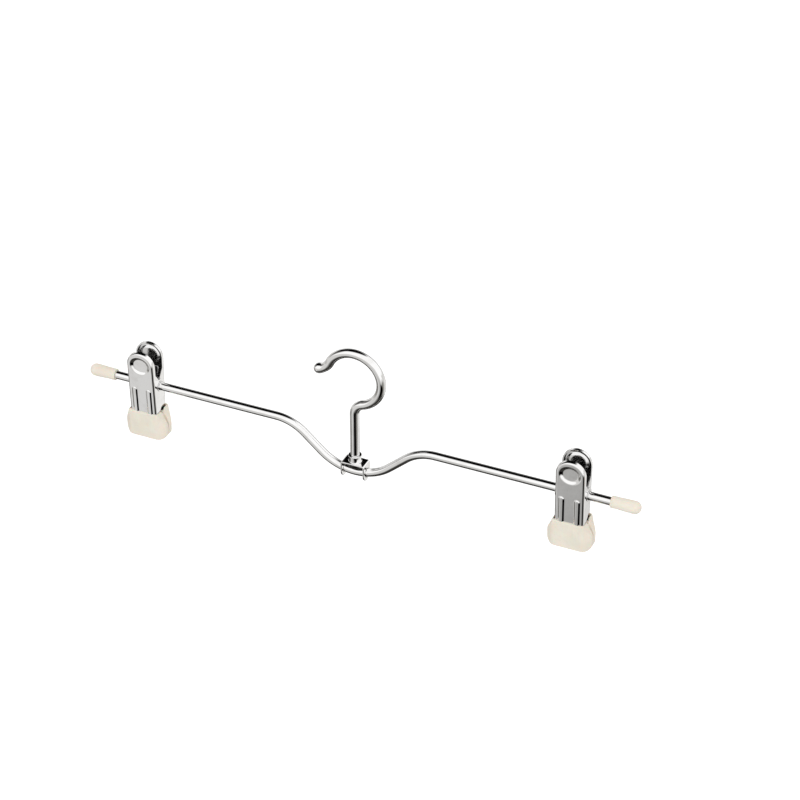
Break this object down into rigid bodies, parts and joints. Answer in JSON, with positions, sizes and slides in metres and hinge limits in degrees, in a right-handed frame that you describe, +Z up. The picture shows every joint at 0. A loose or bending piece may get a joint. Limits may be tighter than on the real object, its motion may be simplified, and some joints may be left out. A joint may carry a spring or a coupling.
{
  "type": "trouser hanger",
  "caption": "Chromed wire trouser hanger: a swivel hook on a saddle, a bar with a dropped middle and sprung clips with cream pads that slide along it.",
  "frame": {"origin": "the inner top of the hook's loop, where it bears on the rail, in the middle of the hanger", "axes": "+X along the bar towards the right clip as the picture shows it, +Y away from the viewer, +Z up"},
  "size_m": [0.32, 0.015, 0.0857],
  "materials": {
    "chrome": "bright chrome plate",
    "spring_steel": "bright drawn wire",
    "silicone": "cream, soft satin"
  },
  "bodies": {
    "hook": {"hook": "chrome"},
    "bar": {"bar": "chrome", "saddle_bracket": "chrome", "left_end_cap": "silicone", "right_end_cap": "silicone"},
    "left_clip_tube": {"left_pivot_tube": "chrome"},
    "left_clip_spring": {"left_spring": "spring_steel"},
    "left_front_half": {"left_front_jaw": "chrome", "left_front_pad": "silicone"},
    "left_back_half": {"left_back_jaw": "chrome", "left_back_pad": "silicone"},
    "right_clip_tube": {"right_pivot_tube": "chrome"},
    "right_clip_spring": {"right_spring": "spring_steel"},
    "right_front_half": {"right_front_jaw": "chrome", "right_front_pad": "silicone"},
    "right_back_half": {"right_back_jaw": "chrome", "right_back_pad": "silicone"}
  },
  "joints": [
    {"name": "hook_swivel", "type": "hinge", "parent": "hook", "child": "bar", "pos_m": [0, 0, 0], "axis": [0, 0, 1], "continuous": true},
    {"name": "left_clip_slide", "type": "slide", "parent": "bar", "child": "left_clip_tube", "axis": [1, 0, 0], "range_m": [-0.0092, 0.0692]},
    {"name": "left_clip_swing", "type": "hinge", "parent": "left_clip_tube", "child": "left_clip_spring", "pos_m": [-0.1252, 0, -0.0485], "axis": [1, 0, 0], "continuous": true},
    {"name": "left_front_jaw_open", "type": "hinge", "parent": "left_clip_spring", "child": "left_front_half", "pos_m": [-0.1252, 0, -0.0485], "axis": [-1, 0, 0], "range_deg": [0, 12], "stiffness_Nm_per_rad": 0.12, "springref_deg": -28.65, "deforming": ["left_spring"]},
    {"name": "left_back_jaw_open", "type": "hinge", "parent": "left_clip_spring", "child": "left_back_half", "pos_m": [-0.1252, 0, -0.0485], "axis": [1, 0, 0], "range_deg": [0, 12], "stiffness_Nm_per_rad": 0.12, "springref_deg": -28.65},
    {"name": "right_clip_slide", "type": "slide", "parent": "bar", "child": "right_clip_tube", "axis": [1, 0, 0], "range_m": [-0.0672, 0.0112]},
    {"name": "right_clip_swing", "type": "hinge", "parent": "right_clip_tube", "child": "right_clip_spring", "pos_m": [0.1232, 0, -0.0485], "axis": [1, 0, 0], "continuous": true},
    {"name": "right_front_jaw_open", "type": "hinge", "parent": "right_clip_spring", "child": "right_front_half", "pos_m": [0.1232, 0, -0.0485], "axis": [-1, 0, 0], "range_deg": [0, 12], "stiffness_Nm_per_rad": 0.12, "springref_deg": -28.65, "deforming": ["right_spring"]},
    {"name": "right_back_jaw_open", "type": "hinge", "parent": "right_clip_spring", "child": "right_back_half", "pos_m": [0.1232, 0, -0.0485], "axis": [1, 0, 0], "range_deg": [0, 12], "stiffness_Nm_per_rad": 0.12, "springref_deg": -28.65}
  ],
  "couplings": [
    {"joint": "left_back_jaw_open", "follows": "left_front_jaw_open", "ratio": 1},
    {"joint": "right_back_jaw_open", "follows": "right_front_jaw_open", "ratio": 1}
  ]
}
